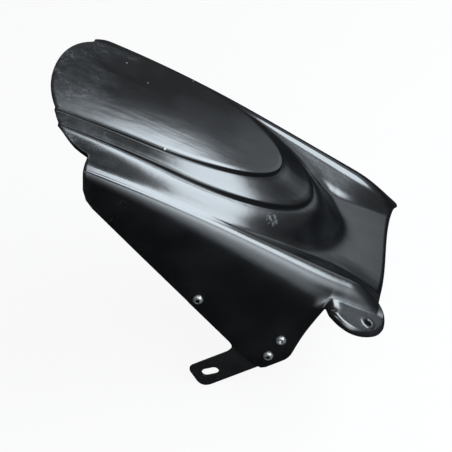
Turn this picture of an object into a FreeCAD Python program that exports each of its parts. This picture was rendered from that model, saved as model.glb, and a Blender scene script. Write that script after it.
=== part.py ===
import FreeCAD, Part
import math
import os

from FreeCAD import Placement, Rotation, Vector

# Rear tyre hugger of a motorcycle, in millimetres: a moulded panel over the wheel, held by a steel plate
# that is screwed to its right skirt and by an ear at its right front.
# The panel is drawn in its own axes: x runs forward along the straight front run of the two rails, y to the
# left and z up, with x = 0 at the rear ends of the rails and y = 0 on the wheel's mid-plane. At the end every
# piece is pitched nose down, as the panel sits on the motorcycle, and the ear's hole is moved to the origin.

# Panel: wall, rails and skirts
wall = 3.0
rail_length = 355.0
rail_half_rear = 114.0
rail_half_front = 88.0
rail_taper_power = 1.6
rail_bend_start = 183.0
rail_bend_radius = 1550.0
left_tip_length = 20.0
left_droop_radius = 39.0
right_tip_length = 37.0
right_droop_radius = 33.0
rail_flare_length = 20.0
rail_flare_radius = 90.0
roll_overhang = 8.0
roll_drop_rear = 18.0
roll_drop_front = 34.0
mounting_pitch = 31.0

# Panel: valley beside each rail, a narrow ledge behind and a wide trough round the nose of the crown
ledge_depth = 2.0
ledge_width = 8.0
trough_depth = 13.0
trough_width = 20.0
trough_start = 150.0
trough_full = 290.0

# Crown: three tongues one on another, each with straight sides and a half-ellipse nose,
# given as half width, end of the straight sides and tip of the nose
plateau = (68.5, 53.0, 197.0)
ring = (80.5, 88.0, 243.0)
bulge = (106.0, 75.0, 292.0)

# Crown: heights above the rails at the tail and at the nose
fade_start = -50.0
fade_length = 250.0
plateau_edge = (24.7, 29.0)
ring_top = (24.3, 26.0)
ring_edge = (16.3, 15.5)
bulge_top = (15.7, 10.5)
plateau_crown = 5.0
bulge_fullness = 2.2
ring_softness = 0.04
foot_softness = 0.025

# Free edges of the panel: rounded tail, front edge and the two side profiles
tail_end = 2.0
tail_half = 98.0
tail_reach = 56.0
tail_lopside = 0.36
tail_flatness = 0.2
front_edge_back = 4.0
front_skew = 0.056
front_sweep = 25.0
rear_edge_lean = 30.0
right_heel = (18.6, -39.0)
right_toe = (274.0, -127.5)
right_foot_flat = 12.0
right_front_low = (289.3, -101.0)
right_front_mid = (284.5, -66.0)
right_front_high = (283.6, -25.0)
left_heel = (18.6, -36.0)
left_toe = (300.0, -46.0)
left_front_back = 10.0
left_front_height = -28.0
heel_radius = 14.0
toe_radius = 4.0

# Ear at the right front, sloping down outwards, with a turned-down rim and a bossed hole
ear_tilt = 10.0
ear_root_height = -14.0
ear_rear = (274.0, -128.5)
ear_outer = (311.0, -150.0)
ear_front = (356.0, -119.0)
ear_inner = (342.0, -86.0)
ear_outer_radius = 28.0
ear_front_radius = 13.0
ear_depth = 7.0
ear_rim_radius = 4.5
ear_hole = (329.3, -123.9)
ear_hole_diameter = 8.5
ear_boss_diameter = 15.0
ear_boss_height = 0.8

# Bracket plate behind the right skirt
plate_thickness = 3.0
plate_margin = 12.0
plate_inset = 1.5
plate_corner_radius = 9.0
arm_angle = 60.0
arm_width = 31.0
arm_end_radius = 9.0
arm_root_radius = 7.0
slot_centre = (233.5, -163.5)
slot_angle = 48.5
slot_length = 18.0
slot_width = 10.0
slot_end_distance = 18.5

# Screws through the skirt and the plate: one behind, two in front
screw_upper = (270.0, -84.0)
screw_spacing_x = 98.0
screw_spacing_z = 25.0
screw_diameter = 6.0
screw_length = 16.0
screw_hole_clearance = 0.6
head_diameter = 10.5
head_height = 3.3
head_rim = 0.6
socket_width = 4.0
socket_depth = 2.0
washer_diameter = 12.0
washer_thickness = 1.6
washer_clearance = 0.4
nut_width = 10.0
nut_height = 6.0
nut_collar = 1.6
thread_clearance = 0.1

# Stations of the curved surfaces
stations_along = 44
stations_across = 49
stations_roll = 9
stations_edge = 15

# Room beyond the free edges, which the trims take away
overrun = 20.0
roof = 90.0
floor = -150.0

# Sizes that follow
skirt_half = rail_half_rear + roll_overhang
left_tip_start = rail_length - left_tip_length
right_tip_start = rail_length - right_tip_length
rail_flare_start = rail_length - rail_flare_length
front_edge = rail_length - front_edge_back
left_front = (rail_length - left_front_back, left_front_height)


def ease(t):
    """Smooth step from 0 to 1."""
    t = min(max(t, 0.0), 1.0)
    return t * t * (3.0 - 2.0 * t)


def soft(t, width):
    """The positive part of t, with its corner rounded over width."""
    if t > 30.0 * width:
        return t
    return width * math.log1p(math.exp(t / width))


def spread(low, high, count):
    steps = int(count) - 1
    return [low + (high - low) * i / steps for i in range(steps + 1)]


def bend(distance, radius):
    """How far a line leaves its tangent, a distance after it starts to bend."""
    return max(0.0, distance) ** 2 / (2.0 * radius)


def base_z(x):
    return -bend(rail_bend_start - x, rail_bend_radius)


def droop(x, y):
    """How far the front tip of the rail on this side has turned down."""
    if y < 0:
        return bend(x - right_tip_start, right_droop_radius)
    return bend(x - left_tip_start, left_droop_radius)


def rail_z(x, y):
    return base_z(x) - droop(x, y)


def rail_half(x):
    along = min(max(0.0, x / rail_length), 1.0)
    taper = (rail_half_rear - rail_half_front) * along ** rail_taper_power
    return rail_half_rear - taper + bend(x - rail_flare_start, rail_flare_radius)


def roll_drop(x):
    return roll_drop_rear + (roll_drop_front - roll_drop_rear) * ease(x / rail_length)


def gauge(tongue, x, y):
    """0 on the middle line of a tongue, 1 on its outline."""
    half, straight, nose = tongue
    return math.hypot(y / half, max(0.0, x - straight) / (nose - straight))


def level(tail_and_nose, x):
    tail, nose = tail_and_nose
    return base_z(x) + tail + (nose - tail) * ease((x - fade_start) / fade_length)


def deck_height(x, y):
    front = ease((x - trough_start) / (trough_full - trough_start))
    depth = ledge_depth + (trough_depth - ledge_depth) * front
    width = ledge_width + (trough_width - ledge_width) * front
    inside = ease((rail_half(x) - abs(y)) / width)
    return base_z(x) - depth * inside - droop(x, y) * (1.0 - inside)


def bulge_height(x, y):
    inside = soft(1.0 - gauge(bulge, x, y), foot_softness)
    outside = soft(gauge(ring, x, y) - 1.0, foot_softness)
    share = 1.0 - (1.0 - inside / (inside + outside)) ** bulge_fullness
    deck = deck_height(x, y)
    return deck + (level(bulge_top, x) - deck) * share


def ring_height(x, y):
    inside = soft(1.0 - gauge(ring, x, y), ring_softness)
    outside = soft(gauge(plateau, x, y) - 1.0, ring_softness)
    edge = level(ring_edge, x)
    return edge + (level(ring_top, x) - edge) * inside / (inside + outside)


def plateau_height(x, y):
    return level(plateau_edge, x) + plateau_crown * (1.0 - gauge(plateau, x, y) ** 2)


def lowered(height, x, y, inset):
    """Height of the surface that lies inset under the given one, measured square to it."""
    step = 0.5
    slope_x = (height(x + step, y) - height(x - step, y)) / (2.0 * step)
    slope_y = (height(x, y + step) - height(x, y - step)) / (2.0 * step)
    return height(x, y) - inset * math.sqrt(1.0 + slope_x ** 2 + slope_y ** 2)


def spline_through(points):
    curve = Part.BSplineCurve()
    curve.interpolate(Points=points, Parameters=spread(0.0, 1.0, len(points)))
    return curve


def net_face(rows):
    """Smooth face through a net of points; faces that share a row or column of points share that edge."""
    lines = [spline_through(row) for row in rows]
    columns = [spline_through(list(column)) for column in zip(*[line.getPoles() for line in lines])]
    along, across = columns[0], lines[0]
    surface = Part.BSplineSurface()
    surface.buildFromPolesMultsKnots([list(row) for row in zip(*[column.getPoles() for column in columns])],
                                     along.getMultiplicities(), across.getMultiplicities(),
                                     along.getKnots(), across.getKnots(), False, False,
                                     along.Degree, across.Degree)
    return surface.toShape()


def top_face(xs, inset):
    rows = []
    for x in xs:
        across = [v * rail_half(x) for v in spread(-1.0, 1.0, stations_across)]
        rows.append([Vector(x, y, lowered(bulge_height, x, y, inset)) for y in across])
        for end in (0, -1):
            rows[-1][end].z = rail_z(x, across[end]) - inset
    return net_face(rows)


def roll_point(x, side, inset, turn):
    width = skirt_half - inset - rail_half(x)
    drop = roll_drop(x) - inset
    y = rail_half(x) + width * math.sin(turn)
    return Vector(x, side * y, rail_z(x, side) - inset - drop * (1.0 - math.cos(turn)))


def roll_face(xs, side, inset):
    turns = spread(0.0, math.pi / 2.0, stations_roll)
    return net_face([[roll_point(x, side, inset, turn) for turn in turns] for x in xs])


def edges_on(faces, test):
    return [e for f in faces for e in f.Edges if all(test(v.Point) for v in e.Vertexes)]


def panel_block(inset, extra):
    """Everything under the panel's skin, down to a flat floor: the skin is inset from the outer one."""
    low, high = fade_start - overrun - extra, rail_length + overrun + extra
    bottom = floor - extra
    xs = spread(low, high, stations_along)
    faces = [top_face(xs, inset)]
    sill = []
    for side in (-1, 1):
        roll = roll_face(xs, side, inset)
        hem = edges_on([roll], lambda p: abs(abs(p.y) - (skirt_half - inset)) < 1e-6)[0]
        line = Part.makeLine(Vector(low, side * (skirt_half - inset), bottom),
                             Vector(high, side * (skirt_half - inset), bottom))
        sill.append(line)
        faces += [roll, Part.makeRuledSurface(hem, line)]
    faces.append(Part.makeRuledSurface(sill[0], sill[1]))
    for end in (low, high):
        rim = edges_on(faces, lambda p: abs(p.x - end) < 1e-6)
        faces.append(Part.Face(Part.Wire(Part.__sortEdges__(rim))))
    skin = Part.makeShell(faces)
    skin.sewShape()
    solid = Part.makeSolid(skin)
    if solid.Volume < 0:
        solid.reverse()
    return solid


def tongue_prism(tongue, inset):
    half, straight, nose = tongue
    start = fade_start - overrun
    half, reach = half - inset, nose - straight - inset
    oval = Part.Ellipse(Vector(straight, 0, 0), reach, half)
    tip = Part.Arc(oval, -math.pi / 2.0, math.pi / 2.0).toShape()
    corners = [Vector(straight, half, 0), Vector(start, half, 0),
               Vector(start, -half, 0), Vector(straight, -half, 0)]
    wire = Part.Wire([tip] + Part.makePolygon(corners).Edges)
    prism = Part.Face(wire).extrude(Vector(0, 0, roof - floor))
    prism.translate(Vector(0, 0, floor))
    return prism


def tongue_block(tongue, height, inset):
    """The part of a tongue that lies under its own surface."""
    half, straight, nose = tongue
    xs = spread(fade_start - overrun - wall, nose + wall, stations_along // 2)
    ys = spread(-half - wall, half + wall, stations_across // 2)
    skin = net_face([[Vector(x, y, lowered(height, x, y, inset)) for y in ys] for x in xs])
    under = skin.extrude(Vector(0, 0, floor / 2.0))
    return under.common(tongue_prism(tongue, inset))


def filleted_wire(corners, place):
    """Closed outline of straight runs joined by tangent arcs; each corner is (a, b, radius)."""
    edges = []
    starts = []
    for i, (a, b, radius) in enumerate(corners):
        here = Vector(a, b, 0)
        before = (Vector(*corners[i - 1][:2], 0) - here).normalize()
        after = (Vector(*corners[(i + 1) % len(corners)][:2], 0) - here).normalize()
        half_turn = before.getAngle(after) / 2.0
        cut = radius / math.tan(half_turn)
        first, last = here + before * cut, here + after * cut
        if radius > 0:
            inward = (before + after).normalize()
            middle = here + inward * (radius / math.sin(half_turn) - radius)
            edges.append(Part.Arc(place(first), place(middle), place(last)).toShape())
        starts.append((first, last))
    for i in range(len(corners)):
        leave, arrive = starts[i][1], starts[(i + 1) % len(corners)][0]
        if (leave - arrive).Length > 1e-6:
            edges.append(Part.makeLine(place(leave), place(arrive)))
    return Part.Wire(Part.__sortEdges__(edges))


def side_slab(corners, y_low, y_high):
    """An outline in x and z, carried from one y to another."""
    wire = filleted_wire(corners, lambda p: Vector(p.x, y_low, p.y))
    return Part.Face(wire).extrude(Vector(0, y_high - y_low, 0))


def rear_edge_top(heel):
    """Where the leaning rear edge of a skirt, drawn up from its heel, reaches the roof."""
    return (heel[0] - (roof - heel[1]) * math.tan(math.radians(rear_edge_lean)), roof, 0.0)


def right_profile():
    front = rail_length + overrun
    flat_start = (right_toe[0] - right_foot_flat, right_toe[1])
    return [rear_edge_top(right_heel), (*right_heel, heel_radius), (*flat_start, 5.0 * toe_radius),
            (*right_toe, toe_radius), (*right_front_low, 2.0 * toe_radius), (*right_front_mid, 100.0),
            (*right_front_high, toe_radius), (front, right_front_high[1], 0.0), (front, roof, 0.0)]


def left_profile():
    front = rail_length + overrun
    return [rear_edge_top(left_heel), (*left_heel, heel_radius), (*left_toe, heel_radius),
            (*left_front, heel_radius), (front, left_front[1], 0.0), (front, roof, 0.0)]


def side_trim():
    outside = skirt_half + overrun
    rail_gap = bulge[0]
    middle = Part.makeBox(rail_length - fade_start + 4.0 * overrun, 2.0 * rail_gap, roof - floor,
                          Vector(fade_start - 2.0 * overrun, -rail_gap, floor))
    right = side_slab(right_profile(), -outside, -rail_gap)
    left = side_slab(left_profile(), rail_gap, outside)
    return middle.fuse([right, left])


def edge_cut(edge_points, corners):
    """Upright cutter bounded by a curved edge in plan and by straight runs through the corners."""
    edge = spline_through([Vector(x, y, floor) for x, y in edge_points]).toShape()
    ends = [edge_points[-1]] + corners + [edge_points[0]]
    frame = Part.makePolygon([Vector(x, y, floor) for x, y in ends])
    return Part.Face(Part.Wire([edge] + frame.Edges)).extrude(Vector(0, 0, roof - floor))


def tail_cut():
    """Everything behind the rails' ends and the rounded tail, which reaches further back on its right."""
    side = skirt_half + overrun
    back = fade_start - 3.0 * overrun
    points = []
    for turn in spread(math.pi / 2.0, -math.pi / 2.0, stations_edge):
        left = math.sin(turn)
        reach = tail_reach * math.cos(turn) * (1.0 - tail_lopside * left - tail_flatness * left ** 2)
        points.append((tail_end - reach, tail_half * left))
    return edge_cut(points, [(tail_end, -side), (back, -side), (back, side), (tail_end, side)])


def front_cut():
    """Everything in front of the front edge, which sweeps back to the right tip and forward to the left."""
    side = skirt_half + overrun
    ahead = rail_length + 4.0 * overrun
    points = []
    for y in spread(-side, side, stations_edge):
        points.append((front_edge + front_skew * y + front_sweep * (y / side) ** 3, y))
    return edge_cut(points, [(ahead, side), (ahead, -side)])


def ear_place():
    """Ear axes: z square to its top face, y = 0 on the skirt's outer plane."""
    return Placement(Vector(0, -skirt_half, ear_root_height), Rotation(Vector(1, 0, 0), ear_tilt))


def on_ear(point):
    """Panel plan position to the ear's own plan."""
    return (point[0], (point[1] + skirt_half) / math.cos(math.radians(ear_tilt)))


def ear_slab(inset, depth, rim_radius):
    outline = [(*on_ear(ear_rear), 2.0 * ear_rim_radius), (*on_ear(ear_outer), ear_outer_radius),
               (*on_ear(ear_front), ear_front_radius), (*on_ear(ear_inner), 0.0),
               (ear_rear[0], on_ear(ear_inner)[1], 0.0)]
    wire = filleted_wire(outline, lambda p: Vector(p.x, p.y, -depth))
    face = Part.Face(wire)
    if inset > 0:
        face = Part.Face(wire.makeOffset2D(-inset))
    slab = face.extrude(Vector(0, 0, depth - inset))
    top = [e for e in slab.Edges if all(abs(v.Z + inset) < 1e-6 for v in e.Vertexes)]
    return slab.makeFillet(rim_radius, top)


def ear_solid():
    solid = ear_slab(0.0, ear_depth, ear_rim_radius)
    solid = solid.cut(ear_slab(wall, ear_depth + overrun, ear_rim_radius - wall))
    hole = Vector(*on_ear(ear_hole), 0)
    under = hole - Vector(0, 0, wall)
    solid = solid.fuse(Part.makeCylinder(ear_boss_diameter / 2.0, wall + ear_boss_height, under))
    solid.Placement = ear_place()
    return solid


def ear_drill():
    hole = Vector(*on_ear(ear_hole), -ear_depth)
    drill = Part.makeCylinder(ear_hole_diameter / 2.0, 2.0 * ear_depth, hole)
    drill.Placement = ear_place()
    return drill


def screw_points():
    x, z = screw_upper
    return {"rear": (x - screw_spacing_x, z), "upper": (x, z), "lower": (x, z - screw_spacing_z)}


def along_y(radius, length, point, y):
    return Part.makeCylinder(radius, length, Vector(point[0], y, point[1]), Vector(0, 1, 0))


def screw_holes():
    radius = (screw_diameter + screw_hole_clearance) / 2.0
    start = -skirt_half - overrun
    return [along_y(radius, 2.0 * overrun, point, start) for point in screw_points().values()]


def mudguard_shell():
    outer = panel_block(0.0, 0.0)
    inner = panel_block(wall, overrun)
    for tongue, height in ((ring, ring_height), (plateau, plateau_height)):
        outer = outer.fuse(tongue_block(tongue, height, 0.0))
        inner = inner.fuse(tongue_block(tongue, height, wall))
    shell = outer.cut(inner)
    shell = shell.common(side_trim())
    shell = shell.cut([tail_cut(), front_cut()])
    shell = shell.fuse(ear_solid().cut(inner))
    return shell.cut([ear_drill()] + screw_holes())


def skirt_edge_z(x):
    """Height of the sloping lower edge of the right skirt."""
    run = right_toe[0] - right_foot_flat - right_heel[0]
    return right_heel[1] + (right_toe[1] - right_heel[1]) * (x - right_heel[0]) / run


def bracket_plate():
    """Plate behind the right skirt: a wide head along the skirt's edge and an arm that hangs below it."""
    angle = math.radians(arm_angle)
    down = Vector(-math.cos(angle), -math.sin(angle), 0)
    out = Vector(math.sin(angle), -math.cos(angle), 0)
    slot = Vector(*slot_centre, 0)
    end = slot + down * slot_end_distance
    left = end - out * (arm_width / 2.0)
    right = end + out * (arm_width / 2.0)
    places = screw_points()
    rear_x = places["rear"][0] - plate_margin
    front_x = places["upper"][0] + plate_margin
    top_z = places["upper"][1] + plate_margin
    shoulder_z = right.y + (front_x - right.x) * math.tan(angle)
    slope = skirt_edge_z(1.0) - skirt_edge_z(0.0)
    rise = (skirt_edge_z(left.x) + plate_inset - left.y) / (math.sin(angle) - slope * math.cos(angle))
    root = left - down * rise
    outline = [(left.x, left.y, arm_end_radius), (right.x, right.y, arm_end_radius),
               (front_x, shoulder_z, plate_corner_radius), (front_x, top_z, plate_corner_radius),
               (rear_x, top_z, plate_corner_radius),
               (rear_x, skirt_edge_z(rear_x) + plate_inset, plate_corner_radius),
               (root.x, root.y, arm_root_radius)]
    inner = -skirt_half + wall
    plate = side_slab(outline, inner, inner + plate_thickness)
    turn = math.radians(slot_angle)
    reach = Vector(math.cos(turn), 0, math.sin(turn)) * ((slot_length - slot_width) / 2.0)
    middle = Vector(slot.x, inner - overrun, slot.y)
    ends = [Part.makeCylinder(slot_width / 2.0, 2.0 * overrun, middle + reach * way, Vector(0, 1, 0))
            for way in (-1, 1)]
    run = Part.makeBox(slot_length - slot_width, 2.0 * overrun, slot_width,
                       Vector((slot_width - slot_length) / 2.0, 0, -slot_width / 2.0))
    run.Placement = Placement(middle, Rotation(Vector(0, 1, 0), -slot_angle))
    return plate.cut(ends + [run] + screw_holes())


def hexagon(width, height, base):
    radius = width / math.sqrt(3.0)
    turns = spread(0.0, 2.0 * math.pi, 7)
    corners = [Vector(radius * math.cos(turn), radius * math.sin(turn), base) for turn in turns]
    return Part.Face(Part.makePolygon(corners)).extrude(Vector(0, 0, height))


def screw_solid():
    """Button-head screw; z = 0 under the head, which stands up along +z."""
    radius = head_diameter / 2.0
    flat = radius - head_height
    shank = screw_diameter / 2.0
    tip = shank - head_rim
    bend = head_rim + (head_height - head_rim) * math.sqrt(0.5)
    middle = flat + (radius - flat) * math.sqrt(0.5)
    dome = Part.Arc(Vector(radius, 0, head_rim), Vector(middle, 0, bend),
                    Vector(flat, 0, head_height)).toShape()
    start = Part.makePolygon([Vector(0, 0, -screw_length), Vector(tip, 0, -screw_length),
                              Vector(shank, 0, head_rim - screw_length), Vector(shank, 0, 0),
                              Vector(radius, 0, 0), Vector(radius, 0, head_rim)])
    close = Part.makePolygon([Vector(flat, 0, head_height), Vector(0, 0, head_height),
                              Vector(0, 0, -screw_length)])
    outline = Part.Wire(start.Edges + [dome] + close.Edges)
    solid = Part.Face(outline).revolve(Vector(0, 0, 0), Vector(0, 0, 1), 360)
    return solid.cut(hexagon(socket_width, socket_depth, head_height - socket_depth))


def washer_solid():
    hole = (screw_diameter + washer_clearance) / 2.0
    ring_blank = Part.makeCylinder(washer_diameter / 2.0, washer_thickness)
    return ring_blank.cut(Part.makeCylinder(hole, washer_thickness))


def nut_solid():
    """Lock nut: a hexagon with a round collar on the side away from the washer."""
    body = hexagon(nut_width, nut_height - nut_collar, nut_collar)
    body = body.fuse(Part.makeCylinder(nut_width / 2.0 - head_rim, nut_height))
    return body.cut(Part.makeCylinder((screw_diameter + thread_clearance) / 2.0, nut_height))


def main():
    os.makedirs("parts", exist_ok=True)
    nodes = {"mudguard_shell": mudguard_shell(), "bracket_plate": bracket_plate()}
    washer_y = -skirt_half + wall + plate_thickness + washer_thickness
    for name, (x, z) in screw_points().items():
        stack = (("screw", screw_solid(), -skirt_half), ("washer", washer_solid(), washer_y),
                 ("nut", nut_solid(), washer_y + nut_height))
        for kind, solid, y in stack:
            solid.Placement = Placement(Vector(x, y, z), Rotation(Vector(1, 0, 0), 90))
            nodes[kind + "_" + name] = solid
    origin = ear_place().multVec(Vector(*on_ear(ear_hole), ear_boss_height))
    pitch = Rotation(Vector(0, 1, 0), mounting_pitch)
    seat = Placement(pitch.multVec(origin * -1.0), pitch)
    for name, solid in nodes.items():
        solid.Placement = seat.multiply(solid.Placement)
        solid.exportStep("parts/" + name + ".step")


main()
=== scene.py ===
# %% [markdown]
# # A stepped motorcycle mudguard
# The object is a moulded mudguard: a thin black plastic shell that rises in rounded
# steps along its middle, with a rolled edge on both sides, one deep side skirt and an
# ear with a fixing hole. A flat steel bracket is screwed to the skirt from behind.
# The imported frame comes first, because every later piece has to sit in its box.

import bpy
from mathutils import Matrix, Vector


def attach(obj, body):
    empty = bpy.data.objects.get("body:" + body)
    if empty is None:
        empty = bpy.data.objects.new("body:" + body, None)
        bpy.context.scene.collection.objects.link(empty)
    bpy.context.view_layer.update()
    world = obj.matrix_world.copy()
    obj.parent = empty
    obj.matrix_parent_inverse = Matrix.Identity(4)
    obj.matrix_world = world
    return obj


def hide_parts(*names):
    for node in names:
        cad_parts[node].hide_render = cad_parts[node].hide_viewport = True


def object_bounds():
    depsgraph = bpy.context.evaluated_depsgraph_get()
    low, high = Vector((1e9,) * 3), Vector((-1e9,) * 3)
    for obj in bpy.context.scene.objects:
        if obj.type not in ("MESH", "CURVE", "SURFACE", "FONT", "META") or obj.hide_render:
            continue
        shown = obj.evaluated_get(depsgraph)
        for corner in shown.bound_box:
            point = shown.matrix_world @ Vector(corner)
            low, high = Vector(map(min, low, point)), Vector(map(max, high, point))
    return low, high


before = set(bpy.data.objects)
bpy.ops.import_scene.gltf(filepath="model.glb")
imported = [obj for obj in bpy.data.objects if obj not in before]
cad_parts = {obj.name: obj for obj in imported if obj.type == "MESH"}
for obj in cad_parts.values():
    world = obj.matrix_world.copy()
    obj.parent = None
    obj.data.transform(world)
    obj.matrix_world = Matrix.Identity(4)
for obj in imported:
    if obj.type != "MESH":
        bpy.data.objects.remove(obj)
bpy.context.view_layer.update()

# %% Modules
import math

import bmesh
import bpy
import numpy as np
from mathutils import Matrix

print("Blender", bpy.app.version_string, "with numpy", np.__version__)

# %% [markdown]
# ## The axes of the panel
# A mudguard is drawn most easily along its own length: x runs to the front, y to the
# left and z up from the crest of the side rails. On the motorcycle it is pitched nose
# down and its place is measured from the fixing hole of the ear. Every surface below
# is therefore worked out in panel millimetres and turned into the frame at the end.

# %% From panel millimetres to frame metres
MILLIMETRE = 0.001
PITCH = math.radians(31.0)
PANEL_ORIGIN = np.array([-0.2752879, 0.1240389, 0.1812142])
PANEL_X = np.array([math.cos(PITCH), 0.0, -math.sin(PITCH)])
PANEL_Y = np.array([0.0, 1.0, 0.0])
PANEL_Z = np.array([math.sin(PITCH), 0.0, math.cos(PITCH)])


def to_frame(points):
    """Point = origin + x along the panel + y to its left + z upwards, in metres."""
    turned = points @ np.stack([PANEL_X, PANEL_Y, PANEL_Z])
    return PANEL_ORIGIN + turned * MILLIMETRE


print("panel origin in the frame:", PANEL_ORIGIN)

# %% [markdown]
# ## Small curves
# A moulding has no sharp changes, so its heights are put together from a few soft
# blocks: an S-shaped step, a rounded corner, an arc and a ramp with rounded ends. A
# rough mesh could be smoothed with modifiers instead, but a formula keeps its sizes,
# and it works on whole arrays of points.

# %% Steps, corners, arcs and ramps
def ease(t):
    """Smooth step 3t² - 2t³ from 0 to 1."""
    t = np.clip(t, 0.0, 1.0)
    return t * t * (3.0 - 2.0 * t)


def soft(t, width):
    """Positive part of t with a rounded corner: width · ln(1 + e^(t / width))."""
    return width * np.logaddexp(0.0, t / width)


def bend(distance, radius):
    """Drop of an arc that starts level: d² / 2r for d above zero."""
    return np.maximum(0.0, distance) ** 2 / (2.0 * radius)


def ramp(t, rounding):
    """Straight rise from 0 to 1 whose two ends are rounded by parabolas."""
    def start(s):
        s = np.maximum(s, 0.0)
        return np.where(s < rounding, s * s / (2.0 * rounding), s - 0.5 * rounding)
    return (start(t) - start(t - 1.0 + rounding)) / (1.0 - rounding)


print("half way along, a step is at", float(ease(0.5)), "and a ramp at", float(ramp(0.5, 0.2)))

# %% [markdown]
# ## The two rails
# The rails are the crests along both sides. They could be drawn by hand as curves, but
# the surfaces beside them ask for their place at any x, so they are formulas too. Both
# front tips turn down, and the left rail turns down at its rear as well.

# %% Rails
WALL = 3.0
SKIRT_HALF = 122.0
RAIL_LENGTH = 355.0
RAIL_HALF_REAR = 114.0
RAIL_TAPER = 26.0
TAPER_POWER = 1.6
# An arc is the place where it starts and its radius.
TAIL_BEND = (183.0, 1550.0)
RIGHT_TIP = (300.0, 75.0)
LEFT_TIP = (305.0, 150.0)
LEFT_REAR = (5.0, 28.0)
TIP_FLARE = (335.0, 90.0)


def bend_after(x, arc):
    """Drop of an arc that grows from its place forwards."""
    return bend(x - arc[0], arc[1])


def bend_before(x, arc):
    """Drop of an arc that grows from its place backwards."""
    return bend(arc[0] - x, arc[1])


def base_z(x):
    """Height of the rail crest without its tips: level, with a long bend towards the tail."""
    return -bend_before(x, TAIL_BEND)


def droop(x, y):
    """How far the ends of a rail turn down: both front tips, and the rear of the left one."""
    left = bend_after(x, LEFT_TIP) + bend_before(x, LEFT_REAR)
    return np.where(y < 0.0, bend_after(x, RIGHT_TIP), left)


def rail_z(x, y):
    """Height of the rail crest on the side of y."""
    return base_z(x) - droop(x, y)


def rail_half(x):
    """Half width between the crests: a power taper, flared at the very front."""
    taper = RAIL_TAPER * np.clip(x / RAIL_LENGTH, 0.0, 1.0) ** TAPER_POWER
    return RAIL_HALF_REAR - taper + bend_after(x, TIP_FLARE)


print("half width between the crests at mid length:", round(float(rail_half(180.0)), 1), "mm")

# %% [markdown]
# ## Heights of the stepped crown
# Three nested tongues rise from the panel: a plateau, a ring around it and a wide bulge
# that runs out into a flat deck. They could be modelled as stacked and bevelled solids.
# Each one is only a height over the plan, though, so one short formula per level is
# enough, and it gives the slopes between them as well.

# %% The deck and its trough beside the rails
TROUGH_START = 150.0
TROUGH_LENGTH = 140.0
DEPTH_REAR = 2.0
DEPTH_GAIN = 11.0
WIDTH_REAR = 12.0
WIDTH_GAIN = 22.0
NARROWING = 17.0
NARROW_START = 285.0
NARROW_LENGTH = 70.0
RIGHT_WIDTH = 0.6
# Shares of the depth that the brink, the wall, its foot and the floor take.
BRINK_SHARE = 0.20
WALL_SHARE = 0.40
FOOT_SHARE = 0.22
FLOOR_SHARE = 0.18
BRINK_START = 3.5
BRINK_WIDTH = 5.0
WALL_START = 5.0
WALL_ROUNDING = 0.2
FOOT_DELAY = 1.0
FOOT_WIDTH = 9.0
FLOOR_WIDTH = 40.0


def deck_height(x, y):
    """Rail height less a trough with a rounded brink, a flat wall and a steeper foot."""
    share = ease((x - TROUGH_START) / TROUGH_LENGTH)
    depth = DEPTH_REAR + DEPTH_GAIN * share
    width = WIDTH_REAR + WIDTH_GAIN * share - NARROWING * ease((x - NARROW_START) / NARROW_LENGTH)
    width = width * np.where(y < 0.0, RIGHT_WIDTH, 1.0)
    inward = rail_half(x) - np.abs(y)
    brink = BRINK_SHARE * ease((inward - BRINK_START) / BRINK_WIDTH)
    wall = WALL_SHARE * ramp((inward - WALL_START) / width, WALL_ROUNDING)
    foot = FOOT_SHARE * ease((inward - width - FOOT_DELAY) / FOOT_WIDTH)
    floor_fall = FLOOR_SHARE * ease((inward - width) / FLOOR_WIDTH)
    inside = brink + wall + foot + floor_fall
    return base_z(x) - depth * inside - droop(x, y) * (1.0 - inside)


print("deck at mid width, near the front:", round(float(deck_height(320.0, 0.0)), 1), "mm")

# %% The three tongues
# A tongue is its half width, the x where its nose starts and the x of the nose's end.
PLATEAU = (68.5, 53.0, 197.0)
RING = (80.5, 88.0, 243.0)
BULGE = (106.0, 75.0, 292.0)
# A level is its height over the rails at the tail and at the nose.
PLATEAU_TOP = (24.7, 29.0)
RING_TOP = (23.1, 26.0)
RING_EDGE = (16.3, 15.5)
BULGE_TOP = (14.8, 10.5)
LEVEL_START = -50.0
LEVEL_LENGTH = 200.0
PLATEAU_CROWN = 5.0
RING_SOFTNESS = 0.04
BULGE_SOFTNESS = 0.025
BULGE_FULLNESS = 2.2


def gauge(x, y, tongue):
    """Scaled distance from a tongue's spine: 1 on its outline, round the elliptic nose too."""
    half, straight, nose = tongue
    return np.hypot(y / half, np.maximum(0.0, x - straight) / (nose - straight))


def level(x, heights):
    """Height over the rails that eases from its value at the tail to that at the nose."""
    tail, nose = heights
    return base_z(x) + tail + (nose - tail) * ease((x - LEVEL_START) / LEVEL_LENGTH)


def bulge_height(x, y):
    """Deck plus a swelling shared out by the distances to the two outlines."""
    inside = soft(1.0 - gauge(x, y, BULGE), BULGE_SOFTNESS)
    outside = soft(gauge(x, y, RING) - 1.0, BULGE_SOFTNESS)
    share = 1.0 - (1.0 - inside / (inside + outside)) ** BULGE_FULLNESS
    deck = deck_height(x, y)
    return deck + (level(x, BULGE_TOP) - deck) * share


def ring_height(x, y):
    """Slope from the plateau's foot to the ring's edge, shared out by the distances."""
    inside = soft(1.0 - gauge(x, y, RING), RING_SOFTNESS)
    outside = soft(gauge(x, y, PLATEAU) - 1.0, RING_SOFTNESS)
    edge = level(x, RING_EDGE)
    return edge + (level(x, RING_TOP) - edge) * inside / (inside + outside)


def plateau_height(x, y):
    """Level top with a slight crown across: a parabola that fades out towards the nose."""
    half, straight, nose = PLATEAU
    fading = 1.0 - ease((x - straight) / (nose - straight))
    return level(x, PLATEAU_TOP) + PLATEAU_CROWN * (1.0 - (y / half) ** 2) * fading


print("plateau top at mid length:", round(float(plateau_height(100.0, 0.0)), 1), "mm")

# %% Heights of the inner skin
SLOPE_STEP = 0.5
STEEPEST = 4.0


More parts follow.
